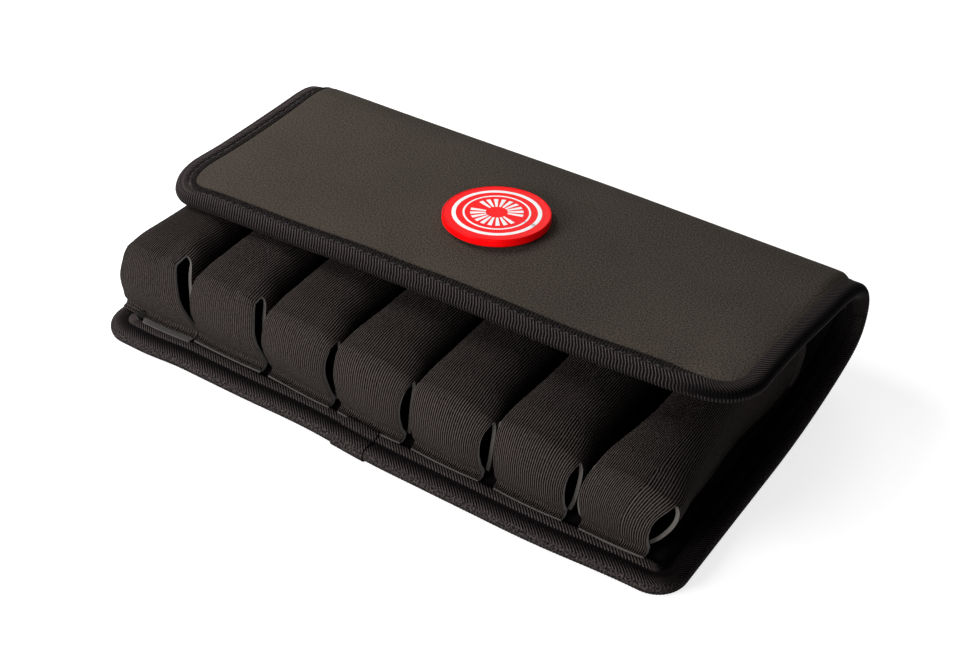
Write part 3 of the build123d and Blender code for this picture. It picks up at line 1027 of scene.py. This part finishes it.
def pocket(number):
    """A pocket's cloth: walls and top as a tunnel, and the tab that goes on from the top."""
    share = np.linspace(0, 1, TUNNEL_ROWS)
    y = blend(POCKET_REAR, POCKET_FRONT, 1 - (1 - share) ** 1.6)
    tunnel = tunnel_rows(number, y)
    tab = slice(LEFT_END_OF_TAB, RIGHT_END_OF_TAB + 1 - SLIT_STEPS[number])
    slit = hump(np.arange(SECTION_STEPS), tab.stop - 0.5, 4.5) * hump(y, POCKET_FRONT, 9)[:, None]
    tunnel[..., 1] += SLIT_BACK[number] * slit
    crest = tunnel[-1, tab]
    front = tab_rows(number, crest)[1:]
    under, ahead = (np.array(rows, float)[:, None] for rows in (TOE_UNDER, TOE_AHEAD))
    ahead[-1, 0, 1] -= TOE_STRIP[number]
    shows = ease((np.arange(front.shape[1]) - TOE_STARTS[number]) / 2)[:, None]
    strip = front[-1] + blend(under, ahead, shows)
    strip[..., 0] += TOE_TRIM * np.linspace(1, 0, front.shape[1])
    front = np.concatenate([front, strip])
    body = np.arange(TUNNEL_ROWS * SECTION_STEPS).reshape(TUNNEL_ROWS, SECTION_STEPS)
    flap = body.size + np.arange(front[..., 0].size).reshape(front.shape[:2])
    flap = np.concatenate([body[-1:, tab], flap])
    girth = arc_length(FREE)
    across = girth - girth[-1] / 2 + CLOTH_SHIFT * number
    along = arc_length(front[:, TAB_MIDDLE]) + 1 - POCKET_FRONT
    flat_body = coordinates(across, -y[:, None])
    flat_flap = coordinates(across[tab], along[:, None])
    # Rows run towards the front and columns to the right, so quads face up as numbered.
    faces = np.concatenate([quads(body), quads(flap)])[:, ::-1]
    pale = np.arange(len(faces)) >= len(faces) - 2 * (front.shape[1] - 1)
    points = np.concatenate([tunnel.reshape(-1, 3), front.reshape(-1, 3)])
    uv = np.concatenate([flat_body.reshape(-1, 2), flat_flap.reshape(-1, 2)])
    piece = make_mesh(f"pocket_cloth_{number + 1}", points, faces, [POCKET, CUT], uv, face_finish=pale)
    wall = piece.modifiers.new("cloth", "SOLIDIFY")
    wall.thickness = POCKET_CLOTH * MM
    wall.offset = -1
    wall.use_even_offset = True
    wall.material_offset_rim = 1
    apply_modifiers(piece)
    piece.data.set_sharp_from_angle(angle=math.radians(50))
    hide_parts(f"pocket_{number + 1}")
    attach(piece, "base")


for number in range(POCKETS):
    pocket(number)


# A mouth tape's section: how far back it lies, and how far it stands proud of the cloth's face
BAND_BACK = (31.8, 32.0, 33.5, 35.2, 35.9, 36.2, 35.9, 35.2, 33.5, 32.0, 31.8)
BAND_PROUD = (-0.2, 0.45, 0.6, 0.55, 0.3, -0.6, -1.5, -1.75, -1.8, -1.65, -1.0)


def mouth_band(number):
    """Tape folded over a pocket's rear mouth: a band 0.6 mm proud of the cloth inside and out."""
    y = np.array(BAND_BACK)
    proud = np.array(BAND_PROUD)[:, None]
    rows = tunnel_rows(number, np.clip(y, None, 36))
    rows[..., 1] = y[:, None]
    rib = 0.03 * (0.5 - 0.5 * np.cos(np.arange(SECTION_STEPS) * math.pi / 2))
    out = normals_2d(rows[:, :, [0, 2]], 1)
    rows[:, :, [0, 2]] += out * (proud + rib * np.sign(proud))[..., None]
    return rows


def mouth_bands():
    """All seven mouth tapes as one piece, each a closed strip."""
    bands = np.stack([mouth_band(number) for number in range(POCKETS)])
    index = np.arange(bands[..., 0].size).reshape(bands.shape[:3])
    faces = np.concatenate([quads(np.concatenate([grid, grid[:1]]))[:, ::-1] for grid in index])
    down, along = np.meshgrid(*(np.arange(size) for size in bands.shape[1:3]), indexing="ij")
    uv = np.tile(np.stack([along, down], axis=-1).reshape(-1, 2), (POCKETS, 1))
    even = np.zeros(index.size)
    fields = {"lay": even + 0.3 * RIB, "groove_and_painted_shade": even, "worn": even}
    piece = make_mesh("mouth_bands", bands, faces, [TAPE], uv, fields)
    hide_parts("mouth_tapes")
    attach(piece, "base")


mouth_bands()


# ---- Badge and closure patches ----


def lid_station(x, y):
    """s on the lid where the sheet's outer face has that x and y."""
    s = np.linspace(150, SHEET_LENGTH, 400)
    at = sheet_face(np.full_like(s, x), s)[:, 1]
    return float(np.interp(y, at[::-1], s[::-1]))


def badge_frame():
    """Turns and carries a point from the badge's own level frame to its place on the lid."""
    s = lid_station(BADGE_X, BADGE_Y)
    point, normal = sheet_frame(np.array(BADGE_X), np.array(s))
    up = Matrix.Rotation(math.radians(-BADGE_TILT), 3, "X") @ Vector(normal)
    right = (Vector((1, 0, 0)) - up * up.x).normalized()
    back = up.cross(right)
    turn = Matrix((right, back, up)).transposed()
    return np.array(turn), np.asarray(point, float)


BADGE_TURN, BADGE_PLACE = badge_frame()


def turned(name, profile, finish, steps=128):
    """A profile of (radius, height) turned about the badge's axis, closed at the axis."""
    radius, height = np.array(profile, float).T[..., None]
    angle = np.linspace(0, 2 * math.pi, steps, endpoint=False)
    points = coordinates(radius * np.cos(angle), radius * np.sin(angle), height)
    index = np.arange(len(profile) * steps).reshape(len(profile), steps)
    return on_lid(name, points, quads(np.concatenate([index, index[:, :1]], axis=1)), finish)


def on_lid(name, points, faces, finish, sharp=35):
    """A piece of the badge in its place: points that meet are joined, and edges shaded sharp."""
    placed = points.reshape(-1, 3) @ BADGE_TURN.T + BADGE_PLACE
    piece = reshape(make_mesh(name, placed, faces, [finish]), weld, turn_out)
    piece.data.set_sharp_from_angle(angle=math.radians(sharp))
    return piece


FACE_RADIUS = 16.28
FULL_TURN = 2 * math.pi
# The badge's marks: each fan's bars in degrees, a bar's and each ring's radii, and half a bar's angle
FAN = np.arange(20, 161, 17.5)
BAR = (3.4, 8.2)
BAR_HALF_ANGLE = 0.085
RINGS = ((12.6, 13.9), (9.9, 10.5))
MARK_RISE = 0.06
MARK_SINK = 0.04


def face_height(radius):
    """Height of the badge's domed face over its base."""
    return 2.2 + 0.22 * (1 - (radius / FACE_RADIUS) ** 2)


def badge_marks():
    """The badge's white pattern: two rings round two fans of nine short bars, 0.06 mm proud.

    Each mark is a strip between two radii and two angles, closed all round and following the dome.
    """
    middles = np.radians([*FAN, *(FAN + 180)])
    bars = [(*BAR, middle - BAR_HALF_ANGLE, middle + BAR_HALF_ANGLE) for middle in middles]
    rings = [(*ring, 0, FULL_TURN) for ring in RINGS]
    points, faces, count = [], [], 0
    for inner, outer, start, end in bars + rings:
        radius = np.linspace(inner, outer, 5)[:, None]
        angle = np.linspace(start, end, 97 if end == FULL_TURN else 7)
        skin, quad = closed_skin(*(
            coordinates(radius * np.cos(angle), radius * np.sin(angle), face_height(radius) + rise)
            for rise in (MARK_RISE, -MARK_SINK)
        ))
        points.append(skin)
        faces.append(quad + count)
        count += len(skin)
    return on_lid("badge_marks", np.concatenate(points), np.concatenate(faces), BADGE_WHITE)


BADGE_RIM = (
    (16.5, -0.2), (16.8, 0.05), (16.85, 1.0), (16.85, 1.9), (16.7, 2.25), (16.5, 2.35), (16.32, 2.25),
)


def badge():
    """Badge: a red body with a rounded rim, a domed face in it, and a raised white pattern."""
    rim = smooth_curve(BADGE_RIM, 26)
    body = turned("badge_shell", [(0, -0.4), (16.3, -0.4), *rim, (16.3, 1.4), (0, 1.4)], BADGE_RED)
    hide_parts("badge_body")
    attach(body, "lid")
    radius = np.linspace(FACE_RADIUS, 0, 14)
    dome = np.stack([radius, face_height(radius)], axis=-1)
    face = turned("badge_disc", [(0, 1.42), (FACE_RADIUS, 1.42), *dome], BADGE_FACE)
    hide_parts("badge_inlay")
    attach(face, "lid")
    marks = badge_marks()
    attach(marks, "lid")


badge()


PATCH_HALF_X = 9.0
PATCH_HALF_Y = 13.0
PATCH_CORNER = 2.0
PATCH_Y = -1.0
PATCH_ROWS = 60
CROWN_ROWS = 120


def patch(name, finish, body, centre_x, under_lid):
    """A closure patch: a thin rounded plate whose face carries a fine pile of bumps."""
    v = np.linspace(-1, 1, PATCH_ROWS)[:, None] * PATCH_HALF_Y
    short = np.clip(np.abs(v) - (PATCH_HALF_Y - PATCH_CORNER), 0, PATCH_CORNER)
    reach = PATCH_HALF_X - PATCH_CORNER + np.sqrt(PATCH_CORNER**2 - short**2)
    x = centre_x + np.linspace(-1, 1, PATCH_ROWS)[None, :] * reach
    y = PATCH_Y + v + 0 * x
    pile = 0.12 * np.sin(x * 2.9 + y) * np.sin(y * 2.6 - x)
    if under_lid:
        s = np.array([[lid_station(centre_x, float(row))] for row in y[:, 0]]) + 0 * x
        low = sheet_depth(x, s, LINING_DEPTH + 1.15 + pile)
        high = sheet_depth(x, s, LINING_DEPTH - 0.05)
    else:
        number = int(round(centre_x / PITCH)) + POCKETS // 2
        at = np.linspace(POCKET_FRONT, POCKET_REAR, CROWN_ROWS)
        crown = np.interp(y[:, 0], at, tunnel_rows(number, at)[:, SECTION_STEPS // 2, 2])[:, None]
        low = coordinates(x, y, crown - 0.35)
        high = coordinates(x, y, crown + 0.95 + pile)
    points, faces = closed_skin(high, low)
    piece = make_mesh(name, points, faces, [finish], sharp=50)
    return reshape(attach(piece, body), turn_out)


for side, label in ((-1, "left"), (1, "right")):
    hook = patch(f"hook_patch_{label}", HOOKS, "lid", side * PITCH, True)
    loop = patch(f"loop_patch_{label}", LOOPS, "base", side * PITCH, False)
    if side < 0:
        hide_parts("hook_patches")
        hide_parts("loop_patches")


# ---- Floor, light and camera ----

FLOOR_SIZE = 6000.0
FLOOR_LEVEL = -0.05
FLOOR_GLOW = 0.745


def floor():
    """A wide white floor. The camera and reflections see it with a little light of its own."""
    corners = [[x * FLOOR_SIZE, y * FLOOR_SIZE, FLOOR_LEVEL] for x, y in ((-1, -1), (1, -1), (1, 1), (-1, 1))]
    finish = Finish("floor_white", 1.0)
    seen = finish.math(
        "MAXIMUM", *(finish.node("LightPath", output=ray) for ray in ("Is Camera Ray", "Is Glossy Ray"))
    )
    matt, seen_matt = (finish.node("BsdfDiffuse", Color=shade(grey, grey, grey)) for grey in (0.8, 0.5))
    glow = finish.node("Emission", Color=shade(1, 1, 1), Strength=FLOOR_GLOW)
    glowing = finish.node("AddShader", _0=seen_matt, _1=glow)
    shown = finish.node("MixShader", _0=seen, _1=matt, _2=glowing)
    finish.put(finish.tree.nodes["Material Output"].inputs["Surface"], shown)
    finish.tree.nodes.remove(finish.surface)
    make_mesh("floor", corners, [[0, 1, 2, 3]], [finish.material])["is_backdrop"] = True


SURROUND = 0.087
LIGHT_AIM = Vector((0, 0, 0.02))
# Each light's name, place, size and power
LIGHTS = (
    ("key", (-0.38, -0.83, 0.29), 0.45, 12.2),
    ("fill", (0.5, -1.1, 0.2), 0.4, 5.6),
    ("rear", (-0.2, 1.2, 0.7), 0.8, 5.6),
    ("side", (-0.38, 0.03, 0.43), 0.3, 2.5),
)


def lights():
    """A pale surround, a soft light at the left front, and weaker ones in front, behind and above."""
    world = bpy.data.worlds.new("studio")
    bpy.context.scene.world = world
    world.use_nodes = True
    background = world.node_tree.nodes["Background"]
    background.inputs["Color"].default_value = shade(1, 1, 1)
    background.inputs["Strength"].default_value = SURROUND
    for name, place, size, power in LIGHTS:
        lamp = bpy.data.lights.new(name, "AREA")
        lamp.shape = "SQUARE"
        lamp.size = size
        lamp.energy = power
        holder = bpy.data.objects.new(name, lamp)
        holder.location = place
        holder.rotation_mode = "QUATERNION"
        holder.rotation_quaternion = (LIGHT_AIM - Vector(place)).to_track_quat("-Z", "Y")
        bpy.context.scene.collection.objects.link(holder)


CAMERA_PLACE = (0.23107, -0.3391, 0.34286)
CAMERA_AZIMUTH = 33.46
CAMERA_ELEVATION = 39.22
CAMERA_ROLL = 0.7216
LENS = 61.68


def camera():
    """The photograph's camera, solved from the case's own corners."""
    lens = bpy.data.cameras.new("camera")
    lens.sensor_width = 36.0
    lens.lens = LENS
    lens.clip_start, lens.clip_end = 0.01, 50
    holder = bpy.data.objects.new("camera", lens)
    bpy.context.scene.collection.objects.link(holder)
    azimuth, elevation, roll = np.radians((CAMERA_AZIMUTH, CAMERA_ELEVATION, CAMERA_ROLL))
    level = math.cos(elevation)
    back = Vector((math.sin(azimuth) * level, -math.cos(azimuth) * level, math.sin(elevation)))
    holder.location = CAMERA_PLACE
    holder.rotation_mode = "QUATERNION"
    aimed = (-back).to_track_quat("-Z", "Y")
    holder.rotation_quaternion = aimed @ Matrix.Rotation(roll, 4, "Z").to_quaternion()
    bpy.context.scene.camera = holder


floor()
lights()
camera()

view = bpy.context.scene.view_settings
view.view_transform = "Standard"

low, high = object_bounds()
